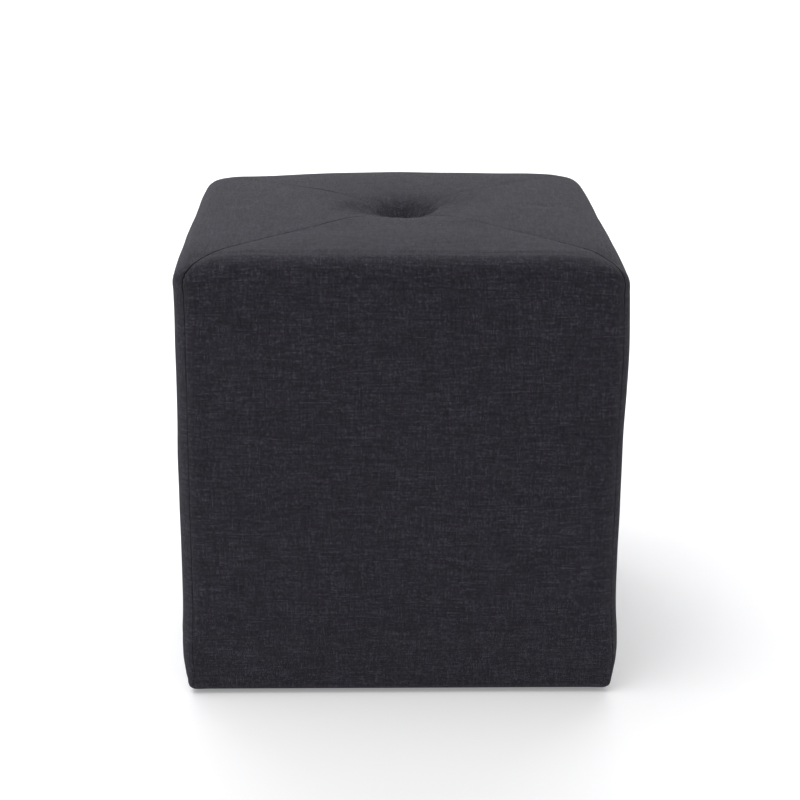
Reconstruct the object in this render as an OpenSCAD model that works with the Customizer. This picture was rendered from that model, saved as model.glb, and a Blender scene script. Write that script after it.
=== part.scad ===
// Tufted cube ottoman: a pine and plywood box on four low glides, with foam
// pads and a cover sewn from four gores that meet at one deep button.
// Millimetres. The origin is the middle of the base, on the floor. +Z is up
// and the front faces -Y.

/* [Body] */
// Width and depth over the cover
body_w = 430; // [380:5:480]
// Height from the floor to the top of the seat
body_h = 448; // [405:1:500]
// Radius of the four upright corners
corner_r = 22; // [16:1:30]
// Radius along the top edges
edge_r = 30; // [20:1:40]
// How far each side draws in at the hem
taper_in = 5; // [0:1:8]
// Height over which the sides draw in
taper_h = 65; // [40:5:100]
// Radius where the cover turns under the base
hem_r = 8; // [4:1:10]

/* [Tuft] */
// Sideways offset of the tuft from the middle of the seat
tuft_x = 4; // [-8:1:8]
// Depth of the tuft below the seat
tuft_depth = 27; // [15:1:32]
// Radius of the soft dish around the tuft
dish_r = 62; // [50:1:75]
// Depth of the soft dish
dish_depth = 6; // [2:1:10]
// Radius of the deep hole at its rim
hole_r = 28; // [22:1:34]
// Diameter of the covered button
button_d = 28; // [20:1:32]
// Height of the covered button
button_h = 9; // [6:1:12]
// Diameter of the tufting twine
twine_d = 2.4; // [1.6:0.2:4]

/* [Cover and padding] */
// Thickness of the cover cloth
cover_t = 1; // [0.6:0.1:2]
// Width of the hem turned under the base
hem_w = 32; // [28:1:34]
// Thickness of the side foam
side_foam_t = 13; // [8:1:20]
// Thickness of the wadding over the seat foam
wadding_t = 4; // [3:1:10]
// Thickness of the seat foam
seat_foam_t = 56; // [45:1:70]

/* [Frame] */
// Thickness of the side panels
panel_t = 9; // [6:1:12]
// Thickness of the deck
deck_t = 12; // [9:1:18]
// Side of the square corner posts
post_w = 40; // [30:1:50]
// Thickness of the rails
rail_t = 20; // [15:1:25]
// Height of the rails
rail_h = 45; // [30:1:60]

/* [Base] */
// Height of each glide below the dust cover
glide_h = 2.4; // [2:0.1:6]
// Diameter of each glide
glide_d = 24; // [18:1:30]
// Thickness of the dust cover
dust_t = 0.4; // [0.3:0.1:1]
// Gap from the edge of the dust cover to the side of the ottoman
dust_margin = 20; // [15:1:28]
// Thickness of a staple's wire
staple_t = 0.5; // [0.4:0.1:1]

/* [Hidden] */
$fn = 64;
far = 1000; // longer than the ottoman in any direction

// Levels, counted up from the floor
dust_z = glide_h; // underside of the dust cover
hem_z = dust_z + dust_t + staple_t; // underside of the cover's hem
frame_z = hem_z + cover_t; // underside of the rails, posts and panels
foam_top = body_h - cover_t - wadding_t;
deck_top = foam_top - seat_foam_t;
deck_z = deck_top - deck_t;
well_z = body_h - tuft_depth; // floor of the tuft's well

// Distances from the middle to the outer face of each layer
foam_x = body_w / 2 - cover_t;
panel_x = foam_x - side_foam_t;
post_x = panel_x - panel_t;
post_c = post_x - post_w / 2; // centre of a corner post
rail_l = 2 * (post_x - post_w); // length of a rail between two posts
taper_a = atan(taper_in / taper_h);

// The tuft's button and twine
seat_r = button_d / 2 + 1; // radius of the well's floor, which the button sits on
button_wall = 3; // height of the button's upright edge
shell_t = 0.8;
plate_t = 1.2; // plate that closes the shell from below
eye_wire = 1.6; // thickness of the wire eye
eye_r = 4; // radius of the eye to the middle of its wire
eye_z = well_z + cover_t + plate_t / 2 - eye_r; // centre of the eye
eye_hole_r = eye_r + eye_wire / 2 + 0.6;
loop_r = (eye_wire + twine_d) / 2; // the twine's turn round the eye's wire
twine_hole_r = loop_r + twine_d / 2 + 0.8;
toggle_t = 3;
toggle_r = 14;
knot_r = twine_hole_r + 1.5;
knot_z = deck_z - toggle_t - sqrt(pow(knot_r, 2) - pow(twine_hole_r, 2));

// Fixings
staple_crown = 10;
staple_leg = 12;
hem_pitch = 40; // distance between hem staples
dust_pitch = 70; // distance between dust cover staples
panel_pitch = 55; // distance between panel staples
panel_leg = 22;
screw_r = 2; // deck screws
screw_head_r = 4;
screw_l = 45;
glide_screw_r = 1.75;
glide_screw_l = 24;
glide_head_r = 3.5;
glide_head_h = 1.8;

// Sides are numbered front, right, back, left, each a quarter turn on
function turn(side) = 90 * side;

// A square with its middle at the origin and four round corners
module round_square(w, r) {
    square([w, w - 2 * r], center = true);
    square([w - 2 * r, w], center = true);
    for (x = [-1, 1], y = [-1, 1])
        translate([x * (w / 2 - r), y * (w / 2 - r)]) circle(r);
}

// The side view of the body, drawn in by t all round: round top edges, sides
// that taper in towards the hem, and a small radius where the cover turns under
module side_profile(t) {
    half = body_w / 2 - t;
    top = body_h - t;
    low = hem_z + t;
    top_r = edge_r - t;
    low_r = hem_r - t;
    low_x = half - taper_in - low_r;
    tangent = [low_x + low_r * cos(taper_a), low + low_r - low_r * sin(taper_a)];
    polygon([[-tangent[0], tangent[1]], [-low_x, low], [low_x, low], tangent,
             [half, low + taper_h], [half, top - top_r], [half - top_r, top],
             [top_r - half, top], [-half, top - top_r], [-half, low + taper_h]]);
    for (x = [-1, 1]) {
        translate([x * (half - top_r), top - top_r]) circle(top_r);
        translate([x * low_x, low + low_r]) circle(low_r);
    }
}

// The whole body, drawn in by t all round
module body(t) {
    intersection() {
        linear_extrude(body_h) round_square(body_w - 2 * t, corner_r - t);
        rotate([90, 0, 0]) linear_extrude(far, center = true) side_profile(t);
        rotate([90, 0, 90]) linear_extrude(far, center = true) side_profile(t);
    }
}

// The tuft's well, made larger by t all round: a shallow dish, then the
// deep hole down to the floor under the button
module well(t) {
    translate([tuft_x, 0, body_h])
        rotate_extrude()
            polygon([[0, 1], [dish_r + t, 1], [dish_r + t, -t],
                     [hole_r + t, -dish_depth - t],
                     [seat_r + t, -tuft_depth * 0.7 - t],
                     [seat_r + t, -tuft_depth - t], [0, -tuft_depth - t]]);
}

// Everything between two upright corners, from the tuft out past the side
module wedge(side, from_z, to_z) {
    apex = [tuft_x, 0];
    corners = [[-1, -1], [1, -1], [1, 1], [-1, 1]] * (body_w / 2);
    reach = 1.6; // how far past the corners the wedge runs
    translate([0, 0, from_z])
        linear_extrude(to_z - from_z)
            polygon([apex, apex + reach * (corners[side] - apex),
                     apex + reach * (corners[(side + 1) % 4] - apex)]);
}

// An upright hole at the tuft
module tuft_hole(from_z, to_z, r) {
    translate([tuft_x, 0, from_z]) cylinder(h = to_z - from_z, r = r);
}

// One gore: a side panel that goes on over the top edge as a triangle, down
// into the well, and at the bottom turns under as the hem
module gore(side) {
    color([0.17, 0.17, 0.19])
        difference() {
            intersection() {
                body(0);
                wedge(side, hem_z - 1, body_h + 1);
            }
            difference() {
                body(cover_t);
                well(cover_t);
            }
            well(0);
            tuft_hole(well_z - 10, body_h, eye_hole_r);
            linear_extrude(frame_z + 1)
                square(body_w - 2 * (taper_in + hem_w), center = true);
            hem_staples_solid();
        }
}

module cover_front() { gore(0); }
module cover_right() { gore(1); }
module cover_back() { gore(2); }
module cover_left() { gore(3); }

// Polyester wadding: a cap over the seat foam, down to the deck's level
module seat_wadding() {
    color("whitesmoke")
        difference() {
            intersection() {
                body(cover_t);
                translate([0, 0, deck_top + far / 2]) cube(far, center = true);
            }
            difference() {
                body(cover_t + wadding_t);
                well(cover_t + wadding_t);
            }
            well(cover_t);
            tuft_hole(deck_top - 1, body_h, eye_hole_r);
        }
}

// The seat's foam pad, with a well for the tuft
module seat_foam() {
    color([0.93, 0.87, 0.66])
        difference() {
            intersection() {
                body(cover_t + wadding_t);
                translate([0, 0, deck_top + far / 2]) cube(far, center = true);
            }
            well(cover_t + wadding_t);
            tuft_hole(deck_top - 1, body_h, eye_hole_r);
        }
}

// One side foam sheet, mitred at the upright corners
module side_foam(side) {
    color([0.93, 0.87, 0.66])
        difference() {
            intersection() {
                body(cover_t);
                wedge(side, frame_z, deck_top);
            }
            linear_extrude(far, center = true) square(2 * panel_x, center = true);
        }
}

module side_foam_front() { side_foam(0); }
module side_foam_right() { side_foam(1); }
module side_foam_back() { side_foam(2); }
module side_foam_left() { side_foam(3); }

// A low dome on a short upright edge, drawn in by t all round
module button_dome(t) {
    rise = button_h - button_wall;
    r = button_d / 2;
    ball = (pow(r, 2) + pow(rise, 2)) / (2 * rise);
    translate([tuft_x, 0, well_z + t]) cylinder(h = button_wall - t, r = r - t);
    translate([tuft_x, 0, well_z + button_wall])
        intersection() {
            cylinder(h = button_h, r = r - t);
            translate([0, 0, rise - ball]) sphere(ball - t);
        }
}

// The button's cloth: a domed disc gathered in under the shell's edge
module button_cover() {
    color([0.17, 0.17, 0.19])
        difference() {
            button_dome(0);
            button_dome(cover_t);
            tuft_hole(well_z - 1, well_z + cover_t + 1, button_d * 0.3);
        }
}

// The button's pressed metal shell, open below
module button_shell() {
    inside = cover_t + shell_t;
    color("silver")
        difference() {
            button_dome(cover_t);
            button_dome(inside);
            tuft_hole(well_z, well_z + button_wall, button_d / 2 - inside);
        }
}

// The plate that closes the shell, with its wire eye below
module button_eye() {
    color("silver")
        union() {
            tuft_hole(well_z + cover_t, well_z + cover_t + plate_t,
                      button_d / 2 - cover_t - shell_t);
            translate([tuft_x, 0, eye_z])
                rotate([90, 0, 0])
                    rotate_extrude()
                        translate([eye_r, 0]) circle(d = eye_wire);
        }
}

// The twine: a loop through the button's eye, two strands down through the
// foam and the deck, and the knot that ties them
module tufting_twine() {
    loop_z = eye_z - eye_r;
    color("ivory")
        translate([tuft_x, 0, 0])
            union() {
                translate([0, 0, loop_z])
                    rotate([90, 0, 90])
                        rotate_extrude(angle = 180)
                            translate([loop_r, 0]) circle(d = twine_d);
                for (y = [-1, 1])
                    translate([0, y * loop_r, knot_z])
                        cylinder(h = loop_z - knot_z, d = twine_d);
                translate([0, 0, knot_z]) sphere(knot_r);
            }
}

// The flat washer that the knot pulls up against the deck
module twine_toggle() {
    color("silver")
        difference() {
            translate([tuft_x, 0, deck_z - toggle_t]) cylinder(h = toggle_t, r = toggle_r);
            tuft_hole(deck_z - toggle_t - 1, deck_z + 1, twine_hole_r);
        }
}

// The plywood deck, on the posts, the top rails and the panels
module deck() {
    color("burlywood")
        difference() {
            translate([-panel_x, -panel_x, deck_z]) cube([2 * panel_x, 2 * panel_x, deck_t]);
            tuft_hole(deck_z - 1, deck_top + 1, twine_hole_r);
            deck_screws_solid();
        }
}

// Eight countersunk screws: one into each post and one into each top rail
module deck_screws_solid() {
    rail_c = post_x - rail_t / 2;
    places = concat([for (x = [-1, 1], y = [-1, 1]) [x * post_c, y * post_c]],
                    [[rail_c, 0], [-rail_c, 0], [0, rail_c], [0, -rail_c]]);
    head_h = screw_head_r - screw_r;
    for (p = places)
        translate([p[0], p[1], deck_top - screw_l])
            union() {
                cylinder(h = screw_l, r = screw_r);
                translate([0, 0, screw_l - head_h])
                    cylinder(h = head_h, r1 = screw_r, r2 = screw_head_r);
            }
}

module deck_screws() { color("silver") deck_screws_solid(); }

// One plywood side panel. The front and back panels lap over the ends of the
// left and right ones
module panel(side) {
    width = side % 2 == 0 ? 2 * panel_x : 2 * post_x;
    color("burlywood")
        difference() {
            rotate([0, 0, turn(side)])
                translate([-width / 2, -panel_x, frame_z])
                    cube([width, panel_t, deck_z - frame_z]);
            panel_staples_solid();
        }
}

module panel_front() { panel(0); }
module panel_right() { panel(1); }
module panel_back() { panel(2); }
module panel_left() { panel(3); }

// A staple with its crown on the plane y = 0 and its legs pointing along +Y
module staple(leg) {
    translate([-staple_crown / 2, 0, -staple_t / 2])
        cube([staple_crown, staple_t, staple_t]);
    for (x = [-1, 1])
        translate([x * (staple_crown - staple_t) / 2 - staple_t / 2, 0, -staple_t / 2])
            cube([staple_t, leg, staple_t]);
}

// Staples through the panels into the posts, flush with the panels
module panel_staples_solid() {
    height = deck_z - frame_z;
    count = floor(height / panel_pitch);
    first = frame_z + (height - (count - 1) * panel_pitch) / 2;
    for (side = [0:3], x = [-1, 1], i = [0:count - 1])
        rotate([0, 0, turn(side)])
            translate([x * post_c, -panel_x, first + i * panel_pitch])
                staple(panel_leg);
}

module panel_staples() { color("silver") panel_staples_solid(); }

// One corner post
module post(x, y) {
    color("tan")
        difference() {
            translate([x * post_c - post_w / 2, y * post_c - post_w / 2, frame_z])
                cube([post_w, post_w, deck_z - frame_z]);
            deck_screws_solid();
            panel_staples_solid();
            glide_screws_solid();
        }
}

module post_front_left() { post(-1, -1); }
module post_front_right() { post(1, -1); }
module post_back_left() { post(-1, 1); }
module post_back_right() { post(1, 1); }

// One rail between two posts, against the panel
module rail(side, z) {
    color("tan")
        difference() {
            rotate([0, 0, turn(side)])
                translate([-rail_l / 2, -post_x, z])
                    cube([rail_l, rail_t, rail_h]);
            deck_screws_solid();
            hem_staples_solid();
            dust_staples_solid();
        }
}

module base_rail_front() { rail(0, frame_z); }
module base_rail_right() { rail(1, frame_z); }
module base_rail_back() { rail(2, frame_z); }
module base_rail_left() { rail(3, frame_z); }
module top_rail_front() { rail(0, deck_z - rail_h); }
module top_rail_right() { rail(1, deck_z - rail_h); }
module top_rail_back() { rail(2, deck_z - rail_h); }
module top_rail_left() { rail(3, deck_z - rail_h); }

// A row of upright staples under each side, at a distance from the middle
module staple_rows(level, distance, pitch, leg) {
    count = floor(rail_l / pitch);
    first = -(count - 1) * pitch / 2;
    for (side = [0:3], i = [0:count - 1])
        rotate([0, 0, turn(side)])
            translate([first + i * pitch, -distance, level])
                rotate([90, 0, 0])
                    staple(leg);
}

// Staples that hold the turned-under cover to the base rails
module hem_staples_solid() {
    staple_rows(hem_z - staple_t, post_x - rail_t * 0.3, hem_pitch, staple_leg);
}

module hem_staples() { color("silver") hem_staples_solid(); }

// Staples that hold the dust cover to the base rails, further in
module dust_staples_solid() {
    staple_rows(dust_z - staple_t, post_x - rail_t * 0.8, dust_pitch, staple_leg);
}

module dust_cover_staples() { color("silver") dust_staples_solid(); }

// The dust cover, flat under the base
module dust_cover() {
    half = body_w / 2 - dust_margin;
    color("black")
        difference() {
            translate([-half, -half, dust_z]) cube([2 * half, 2 * half, dust_t]);
            dust_staples_solid();
            glide_screws_solid();
        }
}

// Four countersunk screws, one up through each glide into its post
module glide_screws_solid() {
    head_z = glide_h * 0.3; // the head sits up inside the glide
    for (x = [-1, 1], y = [-1, 1])
        translate([x * post_c, y * post_c, head_z])
            union() {
                cylinder(h = glide_screw_l, r = glide_screw_r);
                cylinder(h = glide_head_h, r1 = glide_head_r, r2 = glide_screw_r);
            }
}

module glide_screws() { color("silver") glide_screws_solid(); }

// One round plastic glide with a chamfered foot and a recess for its screw
module glide(x, y) {
    chamfer = 0.8;
    recess = glide_h * 0.3;
    color("black")
        difference() {
            translate([x * post_c, y * post_c, 0])
                union() {
                    cylinder(h = chamfer, d1 = glide_d - 2 * chamfer, d2 = glide_d);
                    translate([0, 0, chamfer]) cylinder(h = glide_h - chamfer, d = glide_d);
                }
            translate([x * post_c, y * post_c, -1]) cylinder(h = 1 + recess, r = glide_head_r);
            glide_screws_solid();
        }
}

module glide_front_left() { glide(-1, -1); }
module glide_front_right() { glide(1, -1); }
module glide_back_left() { glide(-1, 1); }
module glide_back_right() { glide(1, 1); }

cover_front();
cover_right();
cover_back();
cover_left();
seat_wadding();
seat_foam();
side_foam_front();
side_foam_right();
side_foam_back();
side_foam_left();
button_cover();
button_shell();
button_eye();
tufting_twine();
twine_toggle();
deck();
deck_screws();
panel_front();
panel_right();
panel_back();
panel_left();
panel_staples();
post_front_left();
post_front_right();
post_back_left();
post_back_right();
base_rail_front();
base_rail_right();
base_rail_back();
base_rail_left();
top_rail_front();
top_rail_right();
top_rail_back();
top_rail_left();
hem_staples();
dust_cover();
dust_cover_staples();
glide_front_left();
glide_front_right();
glide_back_left();
glide_back_right();
glide_screws();
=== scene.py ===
"""Looks of the tufted cube ottoman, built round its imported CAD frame. Metres, +Z up, front at -Y.

The cover is four gores. Each one runs from the tuft out over the top edge, down the side and under the
base to its hem, and is a grid whose columns follow the width and whose rows follow the length of the cloth.
"""

import math

import bpy
import numpy as np
from mathutils import Matrix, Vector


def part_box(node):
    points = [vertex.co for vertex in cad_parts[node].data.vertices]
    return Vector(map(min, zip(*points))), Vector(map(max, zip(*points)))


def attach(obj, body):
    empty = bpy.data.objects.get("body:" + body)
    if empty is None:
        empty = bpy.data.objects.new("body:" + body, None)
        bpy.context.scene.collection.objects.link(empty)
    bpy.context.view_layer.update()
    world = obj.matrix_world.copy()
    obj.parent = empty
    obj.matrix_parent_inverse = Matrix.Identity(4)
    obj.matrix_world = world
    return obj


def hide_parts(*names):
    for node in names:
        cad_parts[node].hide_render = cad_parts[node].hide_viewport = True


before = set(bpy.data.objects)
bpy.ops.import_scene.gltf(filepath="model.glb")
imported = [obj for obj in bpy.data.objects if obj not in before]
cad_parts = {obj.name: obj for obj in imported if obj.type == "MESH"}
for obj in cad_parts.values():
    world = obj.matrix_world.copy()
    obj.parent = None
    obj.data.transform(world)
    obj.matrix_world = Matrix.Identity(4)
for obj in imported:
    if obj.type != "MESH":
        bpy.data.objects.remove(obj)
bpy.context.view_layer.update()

MM = 0.001
SIDES = ["front", "right", "back", "left"]
CORNERS = ["front_left", "front_right", "back_left", "back_right"]

# Sizes that the frame gives
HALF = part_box("cover_right")[1].x  # half the width over the cover
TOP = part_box("cover_front")[1].z
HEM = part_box("cover_front")[0].z
DECK_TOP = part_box("deck")[1].z
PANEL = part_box("deck")[1].x  # outer face of the side panels
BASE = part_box("panel_front")[0].z
TUFT = (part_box("button_cover")[0].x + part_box("button_cover")[1].x) / 2
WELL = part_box("button_cover")[0].z  # floor of the tuft's well
BUTTON_R = (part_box("button_cover")[1].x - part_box("button_cover")[0].x) / 2
BUTTON_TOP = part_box("button_cover")[1].z
BUTTON_H = BUTTON_TOP - WELL
DUST_LOW, DUST_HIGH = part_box("dust_cover")

# Sizes of the cover, as the CAD has them
CLOTH = 1 * MM
WADDING = 4 * MM
EDGE_R = 30 * MM  # along the top edges
CORNER_R = 22 * MM  # down the upright corners
BASE_CORNER_R = 4 * MM  # of the corners under the base
CORNER_TAPER = 3.41  # how much an upright corner's radius shrinks for each unit its sides draw in
HEM_R = 8 * MM  # where the cover turns under the base
TAPER_IN = 5 * MM  # how far each side draws in at the hem
TAPER_H = 65 * MM
HEM_W = 32 * MM
HEM_IN = HALF - TAPER_IN - HEM_W
LOW_X = HALF - TAPER_IN - HEM_R  # where the cover has turned under the base
EYE_HOLE = 5.4 * MM  # the cover's hole for the button's eye
SEAT_R = BUTTON_R + 0.5 * MM  # the well's flat floor under the button
GAP = 0.15 * MM  # air between two soft layers

# How finely the layers are divided: columns between two seams, and steps beside the cover's own
COVER_COLUMNS = 58
PAD_COLUMNS = 34
PAD_STEP = 1.6

# How far the padding moves the cover away from the plain box
SIDE_BULGE = 2.2 * MM
RIGHT_BULGE = 3.0 * MM  # high on the right side
LEFT_EDGE = 2.5 * MM  # along the left top edge
FRONT_EDGE = 4.6 * MM  # along the front top edge
LOW_BULGE = (3.5 * MM, 3.0 * MM)  # just above the hem on the right and on the left
LOW_BULGE_FRONT = 1.5 * MM  # the same in front and behind
CROWN = 5.5 * MM
BACK_CROWN = 1.6 * MM  # further crown behind the middle
BACK_SINK = 2.2 * MM  # shallow hollow behind, on the left
BACK_DROOP = (1.5 * MM, 2.5 * MM)  # how far the back corners sink, right and left
FRONT_DROOP = 5 * MM
SEAM_SHIFT = 6 * MM  # how far the front left seam was sewn towards the front

# The tuft: the seat dips in a wide dish, and then down a hole to the button
DISH_R = 98 * MM
DISH_SHARE = 0.5  # the dish's depth at the tuft, as a share of the well's
# The hole's rim: its distance from the tuft in each direction, counted in degrees from the right
RIM_AT = [0, 25, 60, 90, 150, 180, 215, 270, 305, 330, 360]
RIM_R = np.array([33, 43, 41, 38, 34, 30, 29, 31, 34, 29, 33]) * MM
# The long fold on the left: its direction in degrees, at distances from the tuft
CREST_R = np.array([26, 31, 36, 42, 56, 78, 100]) * MM
CREST_AT = [222, 206, 199, 194, 187, 187, 187]
CREST_H = 1.0 * MM
VALLEY_H = 4.2 * MM
TUFT_FOLDS = [  # direction in degrees, width, height and end in millimetres
    (52, 4.0, 0.7, 62),
    (84, 5.0, 0.5, 70),
    (112, 5.0, 0.7, 74),
    (143, 4.5, 0.6, 70),
    (236, 4.0, 0.4, 60),
    (262, 5.0, 0.4, 66),
    (292, 4.0, 0.4, 60),
    (319, 2.5, 0.8, 86),
]

# How clearly each seam shows, at distances along it from the tuft, numbered from the front left one on
SEAM_AT = np.array([0, 35, 50, 75, 85, 100, 110, 150, 185, 225, 260, 700]) * MM
SEAM_SHOW = [
    (0.2, 0.8, 1.0, 0.9, 0.9, 0.7, 0.6, 0.8, 1.0, 1.0, 0.6, 0.5),
    (0.1, 0.1, 0.1, 0.1, 0.1, 0.1, 0.1, 0.3, 0.8, 0.9, 0.5, 0.4),
    (0.1, 0.1, 0.1, 0.1, 0.1, 0.1, 0.1, 0.1, 0.3, 0.5, 0.5, 0.5),
    (0.1, 0.1, 0.1, 0.3, 0.9, 0.9, 0.2, 0.1, 0.3, 0.5, 0.5, 0.5),
]
SEAM_HIDE = 2.1 * MM  # how far a hidden seam's painted shadow is moved off, for the material

# The cloth simulation
SIM_STEP = 12 * MM
SIM_PLACES = np.linspace(-1, 1, 37)
SIM_FRAMES = 20
WRINKLE_CAP = 1.5 * MM
BROAD_DOWN = 32 * MM  # whatever is wider than this is broad shape, and not a wrinkle
BROAD_ROUND = 2.7  # the same round the cover, in columns
WRINKLES = []  # filled by settle(), and empty while the plain shape is wanted

# The cloth's threads
WARP_PITCH = 1.0 * MM
WEFT_PITCH = 1.1 * MM


# ---------------------------------------------------------------- curves and noise


def smooth(x, low, high):
    """0 below low, 1 above high, and a soft step between them."""
    u = np.clip((x - low) / (high - low), 0, 1)
    return u * u * (3 - 2 * u)


def bump_at(x, centre, width):
    """1 at the centre, falling off smoothly on both sides of it."""
    return np.exp(-(((x - centre) / width) ** 2))


def waves(x, y, z, size, seed, count=7):
    """Smooth unevenness between about -1 and 1 whose humps are about size apart."""
    rng = np.random.default_rng(seed)
    total = np.zeros(np.shape(x))
    for _ in range(count):
        direction = rng.normal(size=3)
        direction /= np.linalg.norm(direction)
        turn = 2 * math.pi / (size * rng.uniform(0.8, 1.6))
        phase = rng.uniform(0, 2 * math.pi)
        total += np.sin((x * direction[0] + y * direction[1] + z * direction[2]) * turn + phase)
    return total / math.sqrt(count) * 0.8


def arc(centre, radius, start, end, step):
    """Points round an arc in the (r, z) plane, its end included and its start not."""
    count = max(2, round(radius * abs(end - start) / step))
    angles = start + (end - start) * np.arange(1, count + 1) / count
    return [(centre[0] + radius * math.cos(a), centre[1] + radius * math.sin(a)) for a in angles]


def line(start, end, step):
    """Points along a line in the (r, z) plane, its end included and its start not."""
    count = max(1, round(math.dist(start, end) / step))
    return [tuple(np.array(start) + (np.array(end) - start) * i / count) for i in range(1, count + 1)]


def path_length(path):
    """How far along a path each of its points is."""
    return np.concatenate([[0], np.cumsum(np.hypot(*np.diff(path, axis=0).T))])


def meridian(fine=1.0):
    """(r, z) of the cover along one line from the tuft to the hem: r is how far out it is."""
    # each part names its end and its step, and the steps are shortest in the tuft
    points = [(EYE_HOLE, TOP)]
    points += line(points[-1], (13 * MM, TOP), 2 * MM * fine)
    points += line(points[-1], (22 * MM, TOP), 0.9 * MM * fine)
    points += line(points[-1], (80 * MM, TOP), 1.6 * MM * fine)
    points += line(points[-1], (HALF - EDGE_R, TOP), 3 * MM * fine)
    points += arc((HALF - EDGE_R, TOP - EDGE_R), EDGE_R, math.pi / 2, 0, 2.4 * MM * fine)
    points += line(points[-1], (HALF, DECK_TOP), 3 * MM * fine)
    points += line(points[-1], (HALF, HEM + TAPER_H), 3.4 * MM * fine)
    points += line(points[-1], (HALF - TAPER_IN, HEM + HEM_R), 3 * MM * fine)
    points += arc((LOW_X, HEM + HEM_R), HEM_R, 0, -math.pi / 2, 1.4 * MM * fine)
    points += line(points[-1], (HEM_IN, HEM), 4 * MM * fine)
    return np.array(points)


def columns(inner):
    """Places across a gore from -1 to 1, close together near the two seams."""
    near = np.array([0, 0.3, 0.6, 1.0, 1.6, 2.6, 4.2, 6.4]) * MM / HALF
    middle = np.linspace(0, 1 - near[-1], inner, endpoint=False)
    half = np.concatenate([middle, 1 - near[::-1]])
    return np.concatenate([-half[:0:-1], half])


# ---------------------------------------------------------------- the shape of the cover


def ring_corner(r, z):
    """Corner radius of the square ring: a circle near the tuft, nearly square beyond, sharper at the hem."""
    share = 1 - (1 - CORNER_R / (HALF - EDGE_R)) * smooth(r, 40 * MM, 130 * MM)
    # with this taper the corner's own edge runs straight down while the sides draw in
    tapered = np.clip(CORNER_R - CORNER_TAPER * (HALF - r), BASE_CORNER_R, CORNER_R)
    side = np.where(z < TOP - EDGE_R, tapered, CORNER_R)
    return np.where(r > HALF - EDGE_R, side, np.where(z < TOP - EDGE_R, BASE_CORNER_R, r * share))


def tuft_share(x, y):
    """How far the tuft pulls the seat down at (x, y): 0 for not at all and 1 for down to the well's floor."""
    dx, dy = x - TUFT, y
    rho = np.hypot(dx, dy)
    angle = np.degrees(np.arctan2(dy, dx)) % 360
    # the hole: its rim is crisp in front and at the sides, and behind it the seat slopes down softly
    behind = smooth(np.sin(np.radians(angle)), 0.15, 0.8)
    rim = np.interp(angle, RIM_AT, RIM_R)
    crisp = 1 - np.clip((rho - SEAT_R) / (rim - SEAT_R), 0, 1) ** 1.6
    soft = 6 * MM
    slope = np.log1p(np.exp((rim - rho) / soft)) / np.log1p(np.exp((rim - SEAT_R) / soft))
    hole = (1 - behind) * crisp + behind * np.clip(slope, 0, 1)
    dish = DISH_SHARE * np.clip(1 - rho / DISH_R, 0, 1) ** 1.8
    share = 1 - (1 - hole) * (1 - dish)
    return share - (long_fold(rho, angle) + short_folds(rho, angle)) / (TOP - WELL) * (1 - hole)


def long_fold(rho, angle):
    """Height of the fold that runs out from the rim to the left, with a valley behind it."""
    crest = np.interp(rho, CREST_R, CREST_AT)
    past = (crest - angle) * np.pi / 180 * rho
    near = smooth(rho, 24 * MM, 34 * MM) * (1 - smooth(rho, 46 * MM, 92 * MM))
    near = near * (np.abs(crest - angle) < 80)
    valley = smooth(past, -0.5 * MM, 5 * MM) * (1 - smooth(past, 9 * MM, 42 * MM))
    ridge = bump_at(past, -1.5 * MM, 4 * MM)
    return (CREST_H * ridge - VALLEY_H * valley) * near


def short_folds(rho, angle):
    """Height of the small folds that run out from the hole all round."""
    height = np.zeros(np.shape(rho))
    for direction, width, rise, end in TUFT_FOLDS:
        off = np.angle(np.exp(1j * np.radians(angle - direction)))
        across = np.abs(off) * np.maximum(rho, 12 * MM)
        along = smooth(rho, 15 * MM, 25 * MM) * (1 - smooth(rho, 0.5 * end * MM, end * MM))
        height += rise * MM * along * bump_at(across, 0, width * MM)
    return height


def seam_groove(away, along, seed):
    """How far the cloth sinks at a distance from a seam: a rolled edge in a shallow puckered valley."""
    roll = 0.9 * MM
    edge = roll * (1 - np.sqrt(np.clip(1 - (1 - np.clip(away / roll, 0, 1)) ** 2, 0, 1)))
    pucker = 1 + 0.5 * waves(along, 0, 0, 17 * MM, seed, 4) + 0.3 * waves(along, 0, 0, 48 * MM, seed + 1, 3)
    return edge + 0.35 * MM * pucker * bump_at(away, 0, 5 * MM)


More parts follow.
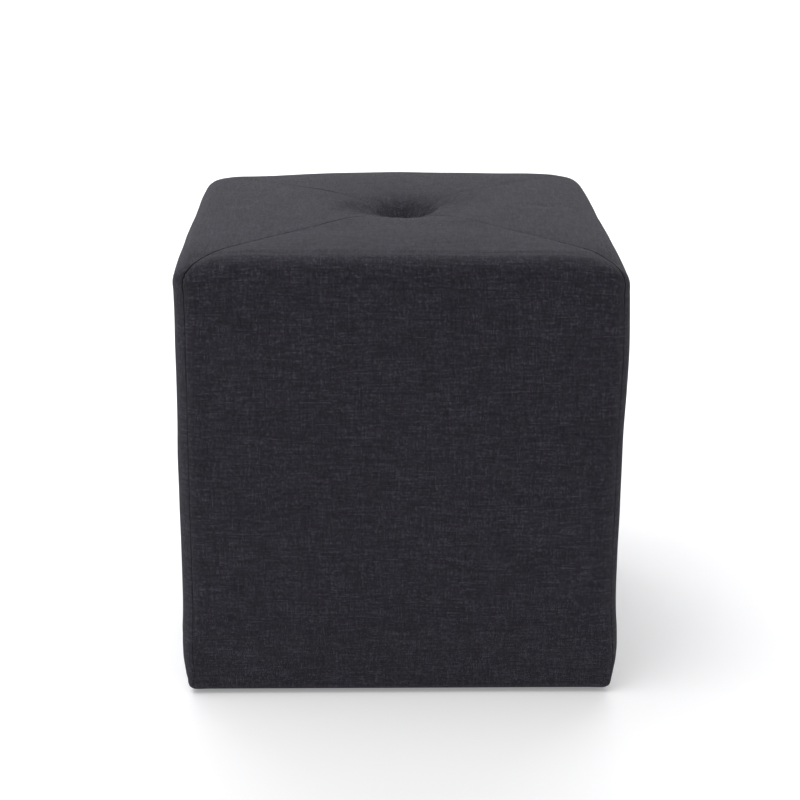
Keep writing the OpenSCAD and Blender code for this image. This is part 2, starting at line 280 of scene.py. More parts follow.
def swell(x, y, z):
    """How far the foam swells the cover outwards, along its normal, at a place on the plain box."""
    height = (z - HEM) / (TOP - HEM)
    side_x = smooth(np.abs(x), HALF - 26 * MM, HALF - 4 * MM)
    side_y = smooth(np.abs(y), HALF - 26 * MM, HALF - 4 * MM)
    # the sides
    level = smooth(height, 0, 0.55) * (1 - smooth(height, 0.82, 1.0))
    across_x = np.clip(1 - (y / HALF) ** 2, 0, 1) ** 0.8 * side_x
    across_y = np.clip(1 - (x / HALF) ** 2, 0, 1) ** 0.8 * side_y
    bulge = SIDE_BULGE * level * np.maximum(across_x, across_y)
    bulge = bulge + RIGHT_BULGE * side_x * (x > 0) * bump_at(height, 0.78, 0.14)
    low = np.where(x > 0, *LOW_BULGE) * side_x + LOW_BULGE_FRONT * side_y
    bulge = bulge + low * bump_at(z, HEM + 38 * MM, 30 * MM)
    # the top edges
    front_edge = side_y * (y < 0) * smooth(z, TOP - 34 * MM, TOP - 12 * MM)
    bulge = bulge + FRONT_EDGE * front_edge * (1 - smooth(z, TOP - 3 * MM, TOP))
    left_edge = side_x * (x < 0) * smooth(z, TOP - 32 * MM, TOP - 10 * MM)
    bulge = bulge + LEFT_EDGE * left_edge * (0.4 + 0.6 * smooth(-y, -60 * MM, 60 * MM))
    # the seat
    on_top = smooth(z, TOP - 12 * MM, TOP)
    round_x, round_y = np.clip(1 - (x / HALF) ** 2, 0, 1), np.clip(1 - (y / HALF) ** 2, 0, 1)
    back = smooth(y, 0, HALF - 35 * MM) * (0.1 + 0.9 * smooth(x, -170 * MM, -20 * MM))
    sunk = smooth(y, 40 * MM, HALF - 30 * MM) * bump_at(x, -145 * MM, 42 * MM)
    crown = CROWN * round_x ** 0.9 * round_y ** 0.9 + BACK_CROWN * back * round_x ** 0.5 - BACK_SINK * sunk
    uneven = 0.5 * MM * waves(x, y, z, 150 * MM, 11) + 0.2 * MM * waves(x, y, z, 55 * MM, 12)
    return bulge + crown * on_top + uneven * smooth(z, HEM, HEM + 12 * MM)


def corner_droop(x, y, z):
    """How far the seat's corners sink below its middle."""
    near = smooth(np.abs(x), HALF - 75 * MM, HALF) * smooth(np.abs(y), HALF - 75 * MM, HALF)
    depth = np.where(y > 0, np.where(x > 0, *BACK_DROOP), FRONT_DROOP)
    return depth * near * smooth(z, TOP - 90 * MM, TOP - 10 * MM)


def turned(side):
    """Cosine and sine of a side's quarter turns from the front."""
    turn = math.pi / 2 * side
    return round(math.cos(turn)), round(math.sin(turn))


def seam_lines(side, s, low, high, t):
    """How far a gore's cloth sinks beside its two seams, and how far each point is from a visible seam."""
    away = np.maximum(np.minimum(s - low, high - s), 0)
    number = np.where(s < (low + high) / 2, side, (side + 1) % 4)
    show = np.zeros(s.shape)
    groove = np.zeros(s.shape)
    for seam in (side, (side + 1) % 4):
        strength = np.interp(t, SEAM_AT, SEAM_SHOW[seam])
        mine = number == seam
        groove += mine * seam_groove(away, t, 100 + seam) * (0.45 + 0.55 * strength)
        show += mine * strength
    return groove, away + (1 - show) * SEAM_HIDE


def cover_grid(side, path, places, inset=0.0, seams=False):
    """Points, cloth coordinates, seam coordinates and arc lengths of one gore, drawn in by inset."""
    length = path_length(path) + path[0, 0]
    ahead = np.gradient(path, axis=0)
    ahead /= np.linalg.norm(ahead, axis=1)[:, None]
    r = path[:, :1]
    z = np.repeat(path[:, 1:], len(places), axis=1)
    # each row is a quarter of a square ring with round corners, from one seam to the next
    corner = ring_corner(r, path[:, 1:])
    quarter = corner * math.pi / 4
    shift = np.minimum(SEAM_SHIFT, 0.85 * quarter) * smooth(r, 25 * MM, 120 * MM)
    low = -(r - corner + quarter) + shift * (side == 0)
    high = r - corner + quarter + shift * (side == 3)
    s = low + (places[None, :] + 1) / 2 * (high - low)
    phi = np.clip((np.abs(s) - (r - corner)) / np.maximum(corner, 1e-6), 0, None)
    x = np.where(phi > 0, np.sign(s) * ((r - corner) + corner * np.sin(phi)), s)
    y = -r + corner * (1 - np.cos(phi))
    out_x, out_y = np.sign(s) * np.sin(phi), -np.cos(phi)
    # the cloth's own coordinates, straight across the seat and round the corners below it
    t = np.repeat(length[:, None], x.shape[1], axis=1)
    flat = 1 - smooth(t, HALF - EDGE_R, HALF + 60 * MM)
    cloth = np.dstack([s + (x - s) * flat, t + (-y - r) * flat])
    # the ring moves over to the tuft as it closes in on it
    cos, sin = turned(side)
    wx = x * cos - y * sin + TUFT * (1 - r / HALF)
    wy = x * sin + y * cos
    nx, ny = out_x * cos - out_y * sin, out_x * sin + out_y * cos
    up = np.repeat(ahead[:, :1], x.shape[1], axis=1)
    normal = np.dstack([nx * -ahead[:, 1:], ny * -ahead[:, 1:], up])
    groove, away = seam_lines(side, s, low, high, t) if seams else (0, 0 * s)
    sink = inset - swell(wx, wy, z) + groove * smooth(r, 12 * MM, 30 * MM)
    point = np.dstack([wx, wy, z]) - normal * sink[:, :, None]
    floor = WELL + (TOP - z) - inset
    pulled = tuft_share(wx, wy) * smooth(z, TOP - 6 * MM, TOP - 1 * MM)
    point[:, :, 2] += (floor - point[:, :, 2]) * pulled - corner_droop(wx, wy, z)
    if WRINKLES:
        point += wrinkle(side, path, places)
    # down the tuft's steep walls the cloth is as long as the slope, not as its plan
    slope = np.linalg.norm(np.diff(point, axis=0), axis=2) - np.diff(length)[:, None]
    extra = np.concatenate([np.zeros((1, len(places))), np.cumsum(slope, axis=0)])
    outside = np.argmin(np.abs(length - 100 * MM))
    cloth[:, :, 1] += np.minimum(extra - extra[outside], 0)
    return point, cloth, np.dstack([away, t]), length


def rings(path, inset, places):
    """Closed rings of points that follow the cover all round, drawn in by inset."""
    gores = [cover_grid(side, path, places, inset)[0][:, :-1] for side in range(4)]
    return np.concatenate(gores, axis=1)


# ---------------------------------------------------------------- the cloth simulation


def near_weights(to, at, width):
    """Weights that carry values known at some places over to other places, each row adding up to 1."""
    weights = bump_at(to[:, None], at[None, :], width) + 1e-30
    return weights / weights.sum(axis=1)[:, None]


def wrinkle(side, path, places):
    """The simulated wrinkles' move of each point of one gore's grid."""
    rows, moves = WRINKLES
    count = len(SIM_PLACES) - 1
    mine = np.take(moves, np.arange(side * count, (side + 1) * count + 1), axis=1, mode="wrap")
    along = path[:, 0] - path[:, 1]
    down = near_weights(along, rows, 0.8 * SIM_STEP)
    across = near_weights(places, SIM_PLACES, 0.8 * 2 / count)
    free = smooth(path[:, 1], HEM + 12 * MM, HEM + 60 * MM) * smooth(path[:, 0], 45 * MM, 85 * MM)
    # the cloth is tight over the top edge and at the upright corners
    free = free * (1 - 0.96 * bump_at(along, HALF - TOP, 50 * MM))
    beside = smooth(TOP - path[:, 1], 5 * MM, 40 * MM)[:, None] * smooth(np.abs(places), 0.72, 0.93)[None, :]
    free = free[:, None] * (1 - 0.9 * beside)
    return np.einsum("ri,ijk,cj->rck", down, mine, across) * free[:, :, None]


def add_cloth(cover):
    """The Cloth modifier: blown up a little, with no gravity, and held where the pins group says."""
    sim = cover.modifiers.new("cloth", "CLOTH")
    sim.settings.quality = 6
    sim.settings.mass = 0.3
    sim.settings.tension_stiffness = 15
    sim.settings.compression_stiffness = 15
    sim.settings.shear_stiffness = 5
    sim.settings.bending_stiffness = 0.4
    sim.settings.shrink_min = -0.007
    sim.settings.use_pressure = True
    sim.settings.uniform_pressure_force = 4
    sim.settings.vertex_group_mass = "pins"
    sim.settings.effector_weights.gravity = 0
    sim.collision_settings.use_collision = False
    sim.point_cache.frame_start, sim.point_cache.frame_end = 1, SIM_FRAMES


def simulate(start, path):
    """Where the cloth simulation moves the points of the whole cover, pinned at the tuft and the hem."""
    rows, cols = start.shape[:2]
    mesh = bpy.data.meshes.new("settle")
    mesh.from_pydata(start.reshape(-1, 3).tolist(), [], grid_faces(rows, cols, flip=True, wrap_cols=True))
    cover = bpy.data.objects.new("settle", mesh)
    scene = bpy.context.scene
    scene.collection.objects.link(cover)
    pins = cover.vertex_groups.new(name="pins")
    at_tuft = 1 - smooth(path[:, 0], 30 * MM, 62 * MM)
    at_hem = 1 - smooth(path[:, 1], HEM + 8 * MM, HEM + 50 * MM)
    for row, held in enumerate(np.maximum(at_tuft, at_hem)):
        pins.add(list(range(row * cols, (row + 1) * cols)), float(held), "REPLACE")
    add_cloth(cover)
    for step in range(1, SIM_FRAMES + 1):
        scene.frame_set(step)
    settled = cover.evaluated_get(bpy.context.evaluated_depsgraph_get()).data
    end = np.zeros(rows * cols * 3, np.float32)
    settled.vertices.foreach_get("co", end)
    scene.frame_set(1)
    bpy.data.objects.remove(cover)
    bpy.data.meshes.remove(mesh)
    return end.reshape(rows, cols, 3)


def settle():
    """Simulates the whole cover, and keeps its wrinkles, up to the cap. The padding holds the broad shape."""
    fine = meridian()
    length = path_length(fine)
    free = length[fine[:, 1] > HEM + 1e-6][-1]
    steps = np.linspace(0, free, round(free / SIM_STEP) + 1)
    path = np.column_stack([np.interp(steps, length, fine[:, 0]), np.interp(steps, length, fine[:, 1])])
    start = rings(path, 0.0, SIM_PLACES)
    moves = simulate(start, path) - start
    down = near_weights(steps, steps, BROAD_DOWN)
    round_it = np.arange(start.shape[1])
    apart = np.abs(round_it[:, None] - round_it)
    across = bump_at(np.minimum(apart, len(round_it) - apart), 0, BROAD_ROUND)
    across /= across.sum(axis=1)[:, None]
    moves = moves - np.einsum("ri,ijk,cj->rck", down, moves, across)
    size = np.linalg.norm(moves, axis=2, keepdims=True) + 1e-9
    moves = moves * WRINKLE_CAP * np.tanh(size / WRINKLE_CAP) / size
    WRINKLES.extend([path[:, 0] - path[:, 1], moves])


# ---------------------------------------------------------------- making meshes


def grid_faces(rows, cols, flip=False, wrap_cols=False, wrap_rows=False):
    """Quads of a grid whose points are numbered row by row."""
    faces = []
    for i in range(rows if wrap_rows else rows - 1):
        for j in range(cols if wrap_cols else cols - 1):
            below, beside = (i + 1) % rows, (j + 1) % cols
            quad = (i * cols + j, i * cols + beside, below * cols + beside, below * cols + j)
            faces.append(quad[::-1] if flip else quad)
    return faces


def add_uvs(mesh, name, uvs):
    """One UV layer from a (u, v) for each point."""
    layer = mesh.uv_layers.new(name=name)
    loops = np.zeros(len(mesh.loops), np.int32)
    mesh.loops.foreach_get("vertex_index", loops)
    layer.data.foreach_set("uv", np.asarray(uvs, np.float32).reshape(-1, 2)[loops].ravel())


def add_piece(name, points, faces, material, cloth=None, seam=None):
    """A smooth mesh piece that rides on the frame."""
    mesh = bpy.data.meshes.new(name)
    mesh.from_pydata(np.asarray(points).reshape(-1, 3).tolist(), [], faces)
    mesh.update()
    if cloth is not None:
        add_uvs(mesh, "Cloth", cloth)
    if seam is not None:
        add_uvs(mesh, "Seam", seam)
    mesh.polygons.foreach_set("use_smooth", [True] * len(mesh.polygons))
    mesh.materials.append(material)
    piece = bpy.data.objects.new(name, mesh)
    bpy.context.scene.collection.objects.link(piece)
    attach(piece, "root")
    return piece


def thicken(piece, thickness, offset=-1):
    """Gives a sheet its cloth's thickness."""
    thick = piece.modifiers.new("cloth", "SOLIDIFY")
    thick.thickness = thickness
    thick.offset = offset


# ---------------------------------------------------------------- materials


class Look:
    """One material, and short ways to add nodes to it."""

    def __init__(self, name):
        self.material = bpy.data.materials.new(name)
        self.material.use_nodes = True
        self.tree = self.material.node_tree
        self.shader = self.tree.nodes["Principled BSDF"]

    def node(self, kind, **settings):
        made = self.tree.nodes.new("ShaderNode" + kind)
        for key, value in settings.items():
            setattr(made, key, value)
        return made

    def put(self, socket, value):
        if isinstance(value, bpy.types.NodeSocket):
            self.tree.links.new(value, socket)
        else:
            socket.default_value = value

    def math(self, operation, *values, clamp=False):
        made = self.node("Math", operation=operation, use_clamp=clamp)
        for socket, value in zip(made.inputs, values):
            self.put(socket, value)
        return made.outputs[0]

    def plus(self, a, b):
        return self.math("ADD", a, b)

    def times(self, a, b):
        return self.math("MULTIPLY", a, b)

    def tint(self, a, b, share=1.0):
        """Colour a multiplied by colour b."""
        made = self.node("Mix", data_type="RGBA", blend_type="MULTIPLY")
        made.inputs["Factor"].default_value = share
        # inputs 6 and 7 and output 2 are the ones for colours
        self.put(made.inputs[6], a)
        self.put(made.inputs[7], b)
        return made.outputs[2]

    def ramp(self, value, *stops):
        made = self.node("ValToRGB")
        self.put(made.inputs[0], value)
        while len(made.color_ramp.elements) < len(stops):
            made.color_ramp.elements.new(0.5)
        for element, (place, colour) in zip(made.color_ramp.elements, stops):
            element.position = place
            element.color = (*colour, 1)
        return made.outputs[0]

    def noise(self, vector, scale, detail=2.0, roughness=0.5):
        made = self.node("TexNoise")
        self.put(made.inputs["Vector"], vector)
        made.inputs["Scale"].default_value = scale
        made.inputs["Detail"].default_value = detail
        made.inputs["Roughness"].default_value = roughness
        return made.outputs[0]

    def vector(self, x, y, z=0.0):
        made = self.node("CombineXYZ")
        for socket, value in zip(made.inputs, (x, y, z)):
            self.put(socket, value)
        return made.outputs[0]

    def scaled(self, vector, factors):
        made = self.node("VectorMath", operation="MULTIPLY")
        self.put(made.inputs[0], vector)
        made.inputs[1].default_value = factors
        return made.outputs[0]

    def split(self, vector):
        made = self.node("SeparateXYZ")
        self.put(made.inputs[0], vector)
        return made.outputs

    def place(self):
        return self.node("TexCoord").outputs["Object"]

    def cloth(self):
        """The piece's own cloth coordinates, in metres along and across the weave."""
        return self.node("UVMap", uv_map="Cloth").outputs[0]

    def bump(self, height, distance, strength=1.0, onto=None):
        made = self.node("Bump")
        made.inputs["Strength"].default_value = strength
        made.inputs["Distance"].default_value = distance
        self.put(made.inputs["Height"], height)
        if onto is not None:
            self.put(made.inputs["Normal"], onto)
        return made.outputs[0]

    def finish(self, **sockets):
        for name, value in sockets.items():
            self.put(self.shader.inputs[name.replace("_", " ")], value)
        return self.material


def yarn(look, across, along, pitch, seed):
    """One set of threads: round height, number, tone in short flecks and tone in long slubs."""
    wobble = look.noise(look.vector(along, across, seed), 60, 1)
    count = look.math("DIVIDE", look.plus(across, look.times(wobble, 0.5 * pitch)), pitch)
    number = look.math("FLOOR", count)
    off = look.math("SUBTRACT", look.math("FRACT", count), 0.5)
    height = look.math("SUBTRACT", 1.0, look.times(look.times(off, off), 4.0))
    # every thread has its own tone, which changes along it
    fleck_at = look.vector(look.times(along, 300), look.times(number, 7.31), seed)
    slub_at = look.vector(look.times(along, 55), look.times(number, 5.77), seed + 20)
    return height, number, look.noise(fleck_at, 1, 0), look.noise(slub_at, 1, 0)


def seam_shadow(look):
    """How deep in a seam's gap the cloth is, from 0 to 1, for its dent and its painted shadow: its stitches
    pull small dimples beside the gap.
    """
    away, along, _ = look.split(look.node("UVMap", uv_map="Seam").outputs[0])
    pull = look.noise(look.vector(look.times(along, 260), 0.0, 2.2), 1, 1)
    reach = look.times(look.plus(pull, 0.1), 2.6 * MM)
    return look.math("SUBTRACT", 1.0, look.math("DIVIDE", away, reach, clamp=True), clamp=True)


def linen(name, with_seams):
    """Charcoal linen-look cloth: a plain weave of uneven heathered threads."""
    look = Look(name)
    u, v, _ = look.split(look.cloth())
    warp, warp_number, warp_fleck, warp_slub = yarn(look, u, v, WARP_PITCH, 3.1)
    weft, weft_number, weft_fleck, weft_slub = yarn(look, v, u, WEFT_PITCH, 8.7)
    parity = look.math("FRACT", look.times(look.plus(warp_number, weft_number), 0.5))
    over = look.math("GREATER_THAN", parity, 0.25)  # 1 where the warp lies on top
    under = look.math("SUBTRACT", 1.0, over)
    warp_high = look.times(warp, look.plus(look.times(over, 0.55), 0.45))
    weft_high = look.times(weft, look.plus(look.times(under, 0.55), 0.45))
    height = look.math("MAXIMUM", warp_high, weft_high)
    # the warp is a little lighter than the weft
    warp_tone = look.times(look.plus(warp_fleck, 0.08), over)
    weft_tone = look.times(look.plus(weft_fleck, -0.06), under)
    flecks = look.times(look.plus(warp_tone, weft_tone), 0.50)
    slubs = look.plus(look.times(weft_slub, 0.56), look.times(warp_slub, 0.44))
    broad = look.times(look.noise(look.place(), 5, 2), 0.04)
    shade = look.plus(look.plus(look.plus(flecks, look.times(slubs, 0.40)), broad), 0.03)
    colour = look.ramp(
        shade,
        (0.31, (0.0052, 0.0048, 0.0075)),
        (0.47, (0.0150, 0.0137, 0.0212)),
        (0.58, (0.0345, 0.0316, 0.0452)),
        (0.72, (0.0850, 0.0795, 0.1040)),
    )
    # painted shade: the cloth darkens towards the edges of each thread, between the threads
    shade_between_threads = look.ramp(height, (0.15, (0.45, 0.45, 0.45)), (0.6, (1, 1, 1)))
    colour = look.tint(colour, shade_between_threads)
    relief = look.plus(height, look.times(slubs, 0.9))
    if with_seams:
        gap = seam_shadow(look)
        # painted shadow: the cloth's colour darkens in each seam's gap
        colour = look.tint(colour, look.ramp(gap, (0.0, (1, 1, 1)), (0.8, (0.10, 0.10, 0.10))))
        relief = look.math("SUBTRACT", relief, look.times(gap, 1.5))
    return look.finish(
        Base_Color=colour,
        Roughness=0.92,
        Sheen_Weight=0.12,
        Sheen_Roughness=0.5,
        Sheen_Tint=(0.85, 0.86, 0.95, 1.0),
        Specular_IOR_Level=0.22,
        Normal=look.bump(relief, 0.60 * MM),
    )


def foam():
    look = Look("foam")
    place = look.place()
    cells = look.node("TexVoronoi")
    look.put(cells.inputs["Vector"], place)
    cells.inputs["Scale"].default_value = 900
    patch = look.noise(place, 14, 4)
    colour = look.ramp(patch, (0.3, (0.74, 0.62, 0.36)), (0.7, (0.86, 0.77, 0.52)))
    normal = look.bump(cells.outputs["Distance"], 0.6 * MM, 0.7)
    return look.finish(Base_Color=colour, Roughness=0.95, Specular_IOR_Level=0.2, Normal=normal)


def wadding():
    look = Look("wadding")
    place = look.place()
    fibre = look.noise(look.scaled(place, (1, 1, 3)), 420, 6, 0.7)
    tuft = look.noise(place, 45, 4)
    colour = look.ramp(tuft, (0.3, (0.70, 0.70, 0.68)), (0.7, (0.90, 0.90, 0.88)))
    normal = look.bump(fibre, 1.2 * MM, 0.8, look.bump(tuft, 3 * MM, 0.5))
    return look.finish(Base_Color=colour, Roughness=0.98, Sheen_Weight=0.4, Normal=normal)


def wood(name, light, dark, grain, bands_per_turn):
    """Sawn wood whose grain runs along the axis with the smallest factor in grain."""
    look = Look(name)
    place = look.scaled(look.place(), grain)
    wander = look.noise(place, 6, 3)
    bands = look.math("FRACT", look.times(wander, bands_per_turn))
    fibre = look.noise(look.scaled(place, (8, 8, 8)), 12, 5, 0.7)
    share = look.plus(look.times(bands, 0.6), look.times(fibre, 0.5))
    colour = look.ramp(share, (0.2, dark), (0.75, light))
    normal = look.bump(fibre, 0.3 * MM, 0.6)
    return look.finish(Base_Color=colour, Roughness=0.72, Specular_IOR_Level=0.3, Normal=normal)


def plywood():
    """Veneer on the faces, and thin dark and light plies that show on the edges."""
    look = Look("plywood")
    place = look.place()
    _, _, z = look.split(place)
    veneer = look.noise(look.scaled(place, (30, 30, 2)), 4, 4, 0.6)
    fibre = look.noise(look.scaled(place, (260, 260, 12)), 2, 3)
    share = look.plus(look.times(veneer, 0.7), look.times(fibre, 0.3))
    colour = look.ramp(share, (0.3, (0.42, 0.28, 0.15)), (0.7, (0.66, 0.49, 0.30)))
    ply = look.math("FRACT", look.times(z, 1 / (3 * MM)))
    edge = look.ramp(ply, (0.46, (1, 1, 1)), (0.5, (0.72, 0.68, 0.62)), (0.96, (1, 1, 1)))
    colour = look.tint(colour, edge, 0.35)
    normal = look.bump(share, 0.2 * MM, 0.5)
    return look.finish(Base_Color=colour, Roughness=0.7, Specular_IOR_Level=0.3, Normal=normal)


def steel():
    look = Look("zinc_steel")
    place = look.place()
    blotch = look.noise(place, 160, 4)
    streak = look.noise(look.scaled(place, (900, 900, 90)), 1, 2)
    colour = look.ramp(blotch, (0.3, (0.42, 0.43, 0.45)), (0.7, (0.62, 0.62, 0.63)))
    rough = look.ramp(streak, (0.2, (0.26,) * 3), (0.8, (0.46,) * 3))
    return look.finish(Base_Color=colour, Roughness=rough, Metallic=1.0)


def dust_cloth():
    """Black non-woven cloth: pressed fibres with a grid of small bonded dots."""
    look = Look("dust_cloth")
    place = look.place()
    fibre = look.noise(look.scaled(place, (1, 2.2, 1)), 700, 5, 0.7)
    dots = look.node("TexVoronoi")
    dots.inputs["Scale"].default_value = 520
    dots.inputs["Randomness"].default_value = 0.15
    look.put(dots.inputs["Vector"], place)
    dot = look.ramp(dots.outputs["Distance"], (0.18, (0, 0, 0)), (0.3, (1, 1, 1)))
    cloud = look.noise(place, 60, 4)
    share = look.plus(look.times(fibre, 0.6), look.times(cloud, 0.4))
    colour = look.ramp(share, (0.35, (0.006, 0.006, 0.007)), (0.7, (0.030, 0.030, 0.032)))
    normal = look.bump(dot, 0.12 * MM, 0.6, look.bump(fibre, 0.2 * MM, 0.6))
    return look.finish(Base_Color=colour, Roughness=0.85, Sheen_Weight=0.2, Normal=normal)


def plastic():
    look = Look("glide_plastic")
    place = look.place()
    grain = look.noise(place, 1400, 3)
    scuff = look.noise(place, 220, 5, 0.7)
    colour = look.ramp(scuff, (0.45, (0.012, 0.012, 0.013)), (0.8, (0.045, 0.045, 0.047)))
    rough = look.ramp(scuff, (0.3, (0.38,) * 3), (0.75, (0.6,) * 3))
    return look.finish(Base_Color=colour, Roughness=rough, Normal=look.bump(grain, 0.06 * MM, 0.5))


def twine():
    look = Look("twine")
    x, _, z = look.split(look.place())
    strand = look.plus(look.times(z, 1100), look.times(x, 900))
    twist = look.plus(look.times(look.math("SINE", strand), 0.5), 0.5)
    fibre = look.noise(look.place(), 1500, 3)
    # painted shade: the twine is darker in the grooves between its strands
    share = look.plus(look.times(twist, 0.7), look.times(fibre, 0.3))
    colour = look.ramp(share, (0.2, (0.33, 0.28, 0.20)), (0.8, (0.68, 0.61, 0.48)))
    return look.finish(Base_Color=colour, Roughness=0.8, Normal=look.bump(twist, 0.3 * MM, 0.8))


LINEN = linen("charcoal_linen", True)
BUTTON_LINEN = linen("charcoal_linen_button", False)
FOAM = foam()
WADDING_LOOK = wadding()
PINE = wood("pine", (0.74, 0.56, 0.34), (0.46, 0.29, 0.14), (14, 14, 1.2), 9)
PLYWOOD = plywood()
STEEL = steel()
DUST = dust_cloth()
PLASTIC = plastic()
TWINE = twine()


# ---------------------------------------------------------------- the cover


def make_gore(side):
    """One gore of the cover, with the cloth's thickness."""
    point, cloth, seam, length = cover_grid(side, meridian(), columns(COVER_COLUMNS), seams=True)
    faces = grid_faces(*point.shape[:2], flip=True)
    piece = add_piece("gore_" + SIDES[side], point, faces, LINEN, cloth, seam)
    thicken(piece, CLOTH)
    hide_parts("cover_" + SIDES[side])


# ---------------------------------------------------------------- wadding, foam, button and dust cover


def make_wadding():
    """The wadding cap between the cover and the seat foam, closed all round."""
    path = meridian(PAD_STEP)
    path = path[path[:, 1] >= DECK_TOP - 1e-6]
    outer = rings(path, CLOTH + GAP, columns(PAD_COLUMNS))
    inner = rings(path, CLOTH + WADDING, columns(PAD_COLUMNS))
    loft = 0.35 * MM * waves(*np.moveaxis(inner, 2, 0), 22 * MM, 31)
    inner[:, :, 2] += loft
    loops = np.concatenate([outer, inner[::-1]])
    faces = grid_faces(*loops.shape[:2], flip=True, wrap_cols=True, wrap_rows=True)
    piece = add_piece("seat_wadding_pad", loops, faces, WADDING_LOOK)
    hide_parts("seat_wadding")


def make_seat_foam():
    """The seat's foam pad: crowned above, flat on the deck, with a hole for the twine."""
    path = meridian(PAD_STEP)
    path = path[path[:, 1] >= DECK_TOP - 1e-6]
    outer = rings(path, CLOTH + WADDING + GAP, columns(PAD_COLUMNS))
    share = np.linspace(0, 1, 12)[1:, None, None]
    flat = outer[-1] * (1 - share) + outer[0] * share
    flat[:, :, 2] = DECK_TOP + GAP
    outer[-1, :, 2] = DECK_TOP + GAP
    loops = np.concatenate([outer, flat])
    faces = grid_faces(*loops.shape[:2], flip=True, wrap_cols=True, wrap_rows=True)
    piece = add_piece("seat_foam_pad", loops, faces, FOAM)
    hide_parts("seat_foam")


def make_side_foam(side):
    """One side foam sheet: flat against its panel, swollen outside, mitred at both ends."""
    path = meridian(PAD_STEP)
    path = path[(path[:, 1] <= DECK_TOP + 1e-6) & (path[:, 0] >= LOW_X - 1e-6)]
    places = columns(PAD_COLUMNS)
    outer = cover_grid(side, path, places, CLOTH + GAP)[0]
    outer[:, :, 2] = np.clip(outer[:, :, 2], BASE + GAP, DECK_TOP - GAP)
    cos, sin = turned(side)
    back = PANEL + GAP
    inner = outer.copy()
    inner[:, :, 0] = (places * cos + sin) * back
    inner[:, :, 1] = (places * sin - cos) * back
    loops = np.concatenate([outer, inner[::-1]])
    rows, cols = loops.shape[:2]
    faces = grid_faces(rows, cols, flip=True, wrap_rows=True)
    # the two cut ends, between each row outside and its mate inside
    for i in range(len(path) - 1):
        mate = rows - 1 - i
        left = (i * cols, (i + 1) * cols, (mate - 1) * cols, mate * cols)
        right = tuple(k + cols - 1 for k in left)
        faces += [left[::-1], right]
    piece = add_piece("side_foam_pad_" + SIDES[side], loops, faces, FOAM)
    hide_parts("side_foam_" + SIDES[side])


def make_button():
    """The button's cloth: a dome of the cover's cloth, gathered in under its edge."""
    wall = 3 * MM  # height of the upright edge
    under = 1.2 * MM  # radius where the cloth turns under the shell
    tip = 0.02  # where the dome starts, in radians from its middle
    gathered = 0.61 * BUTTON_R  # how far in the cloth is gathered below
    rise = BUTTON_H - wall
    ball = (BUTTON_R**2 + rise**2) / (2 * rise)
    rim = math.asin(BUTTON_R / ball)
    dome = [(ball * math.sin(a), BUTTON_H - ball * (1 - math.cos(a))) for a in np.linspace(tip, rim, 15)]
    profile = dome + line(dome[-1], (BUTTON_R, under), 0.8 * MM)
    profile += arc((BUTTON_R - under, under), under, 0, -math.pi / 2, 0.4 * MM)
    profile += line(profile[-1], (gathered, 0), 0.7 * MM)
    profile = np.array(profile)
    length = path_length(profile) + profile[0, 0]
    angle = np.linspace(0, 2 * math.pi, 96, endpoint=False)[None, :]
    r, z = profile[:, :1], profile[:, 1:]
    gather = smooth(-z, -4.2 * MM, -0.4 * MM)
    pleat = 0.22 * MM * gather * (np.sin(angle * 17 + 0.6 * np.sin(3 * angle)) - 1)
    uneven = 0.12 * MM * waves(r * np.cos(angle), r * np.sin(angle), z, 9 * MM, 41) * (z > wall)
    reach = r + pleat * (r > BUTTON_R * 0.8)
    x, y = reach * np.cos(angle), reach * np.sin(angle)
    height = np.clip(z + uneven, 0, BUTTON_H - 0.05 * MM) + 0 * angle
    point = np.dstack([x + TUFT, y, height + WELL + GAP])
    cloth = np.dstack([length[:, None] * np.cos(angle), length[:, None] * np.sin(angle)])
    rows, cols = point.shape[:2]
    faces = grid_faces(rows, cols, wrap_cols=True) + [tuple(range(cols))[::-1]]
    piece = add_piece("button_cloth", point, faces, BUTTON_LINEN, cloth)
    thicken(piece, CLOTH - GAP)
    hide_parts("button_cover")


def make_dust_cover():
    """The dust cover: thin cloth with its edges folded in above, sagging a little between its staples."""
    half = DUST_HIGH.x
    fold = 14 * MM  # width of the edge folded in
    lift = 0.35 * MM  # how far the fold lies above the sheet
    low = DUST_LOW.z + 0.15 * MM
    path = [(2 * MM, 0)] + line((2 * MM, 0), (half, 0), 6 * MM)
    path += [(half, lift)] + line((half, lift), (half - fold, lift), 5 * MM)
    path = np.array(path)
    places = np.linspace(-1, 1, 56, endpoint=False)
    r, rise = path[:, :1], path[:, 1:]
    sides = []
    for side in range(4):
        cos, sin = turned(side)
        along = places[None, :] * r
        x, y = along * cos + r * sin, along * sin - r * cos
        sides.append(np.dstack([x, y, rise + 0 * x]))
    point = np.concatenate(sides, axis=1)
    x, y = point[:, :, 0], point[:, :, 1]
    held = smooth(np.maximum(np.abs(x), np.abs(y)), 130 * MM, 172 * MM)
    single = 1 - smooth(rise, 0, 0.3 * MM)
    sag = 0.9 * MM * (1 - (x / half) ** 2) * (1 - (y / half) ** 2) * (1 - held)
    crinkle = 0.35 * MM * waves(x, y, 0 * x, 38 * MM, 51) + 0.15 * MM * waves(x, y, 0 * x, 13 * MM, 52)
    point[:, :, 2] += low - (sag + np.abs(crinkle) * (1 - 0.75 * held)) * single
    rows, cols = point.shape[:2]
    faces = grid_faces(rows, cols, flip=True, wrap_cols=True) + [tuple(range(cols))]
    piece = add_piece("dust_cover_sheet", point, faces, DUST)
    thicken(piece, 0.2 * MM, 1)
    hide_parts("dust_cover")


settle()
for number in range(4):
    make_gore(number)
    make_side_foam(number)
make_wadding()
make_seat_foam()
make_button()
make_dust_cover()

# ---------------------------------------------------------------- the CAD nodes that stay

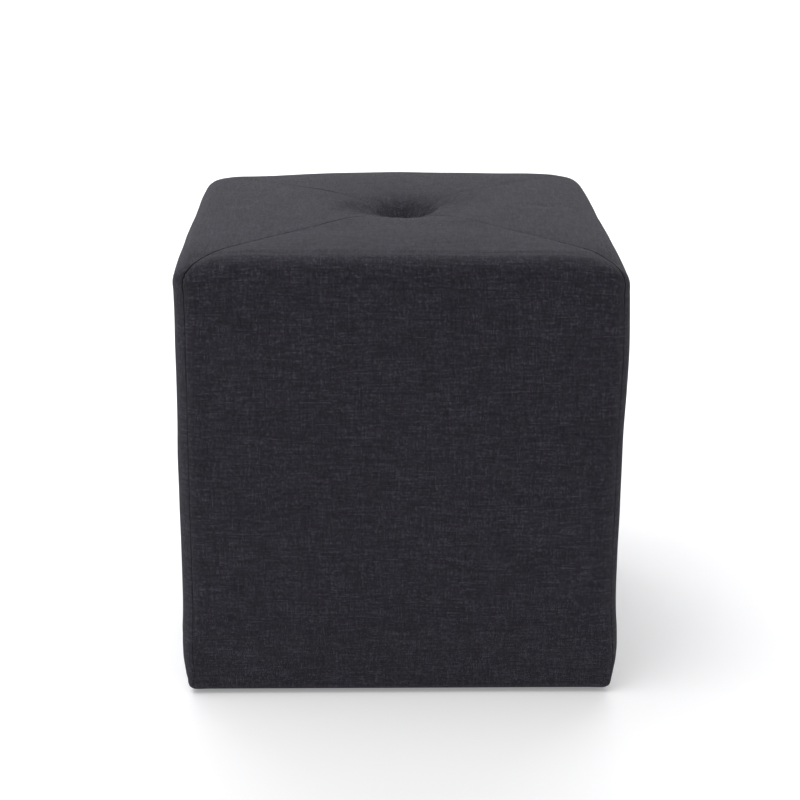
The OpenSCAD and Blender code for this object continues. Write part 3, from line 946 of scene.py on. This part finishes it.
KEPT = {
    "deck": PLYWOOD,
    "twine_toggle": STEEL,
    "tufting_twine": TWINE,
    "button_shell": STEEL,
    "button_eye": STEEL,
    "deck_screws": STEEL,
    "panel_staples": STEEL,
    "hem_staples": STEEL,
    "dust_cover_staples": STEEL,
    "glide_screws": STEEL,
}
for name in SIDES:
    KEPT["panel_" + name] = PLYWOOD
    KEPT["base_rail_" + name] = PINE
    KEPT["top_rail_" + name] = PINE
for name in CORNERS:
    KEPT["post_" + name] = PINE
    KEPT["glide_" + name] = PLASTIC
for name, look in KEPT.items():
    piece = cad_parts[name]
    for slot in piece.material_slots:
        slot.material = look

# ---------------------------------------------------------------- floor, light and camera


def make_stage():
    """A pale floor that curves up far behind the ottoman."""
    look = Look("floor")
    place = look.place()
    shade = look.noise(place, 0.7, 2)
    colour = look.ramp(shade, (0.3, (0.86, 0.86, 0.875)), (0.7, (0.885, 0.885, 0.895)))
    look.finish(Base_Color=colour, Roughness=0.6, Specular_IOR_Level=0.3)
    # a lit white table: a little light of its own keeps the shadows pale
    look.finish(Emission_Color=(1.0, 1.0, 1.0, 1.0), Emission_Strength=0.25)
    front, back, bend, top, side = -9, 3.2, 1.6, 6, 9
    path = [(front, 0), (back, 0)]
    angles = np.linspace(0.1, math.pi / 2, 16)
    path += [(back + bend * math.sin(a), bend * (1 - math.cos(a))) for a in angles]
    path += [(back + bend, top)]
    points = [(x, y, z) for y, z in path for x in (-side, side)]
    faces = [(2 * i, 2 * i + 1, 2 * i + 3, 2 * i + 2) for i in range(len(path) - 1)]
    mesh = bpy.data.meshes.new("floor")
    mesh.from_pydata(points, [], faces)
    mesh.polygons.foreach_set("use_smooth", [True] * len(mesh.polygons))
    mesh.materials.append(look.material)
    floor = bpy.data.objects.new("floor", mesh)
    bpy.context.scene.collection.objects.link(floor)


def add_light(name, place, aim, size, power):
    data = bpy.data.lights.new(name, "AREA")
    data.shape = "RECTANGLE"
    data.size, data.size_y = size
    data.energy = power
    light = bpy.data.objects.new(name, data)
    light.location = place
    toward = Matrix.Translation(aim).translation - light.location
    light.rotation_euler = toward.to_track_quat("-Z", "Y").to_euler()
    bpy.context.scene.collection.objects.link(light)


def make_world():
    world = bpy.data.worlds.new("studio")
    world.use_nodes = True
    world.node_tree.nodes["Background"].inputs[0].default_value = (1, 1, 1, 1)
    world.node_tree.nodes["Background"].inputs[1].default_value = 0.35
    bpy.context.scene.world = world


def make_camera():
    """The camera stands in front and looks down a little, with a long lens."""
    data = bpy.data.cameras.new("camera")
    data.lens = 88.3
    data.sensor_width = 36
    camera = bpy.data.objects.new("camera", data)
    stand = (-0.0373, -1.9934, 0.8722)
    pitch, yaw, roll = 0.3064, 0.0203, 0.0045  # looks down, to the right, and leans
    ahead = np.array([math.sin(yaw) * math.cos(pitch), math.cos(yaw) * math.cos(pitch), -math.sin(pitch)])
    right = np.array([math.cos(yaw), -math.sin(yaw), 0.0])
    up = np.cross(right, ahead)
    right_rolled = math.cos(roll) * right + math.sin(roll) * up
    up_rolled = math.cos(roll) * up - math.sin(roll) * right
    turn = Matrix(np.column_stack([right_rolled, up_rolled, -ahead]).tolist()).to_4x4()
    camera.matrix_world = Matrix.Translation(stand) @ turn
    bpy.context.scene.collection.objects.link(camera)
    bpy.context.scene.camera = camera


make_stage()
make_world()
add_light("overhead", (-0.9, -0.6, 2.6), (0, 0, 0.3), (2.2, 2.2), 44)
add_light("backdrop", (0, 3.4, 4.0), (0, 4.4, 0.4), (6, 1.5), 165)
make_camera()
bpy.context.scene.view_settings.view_transform = "Standard"
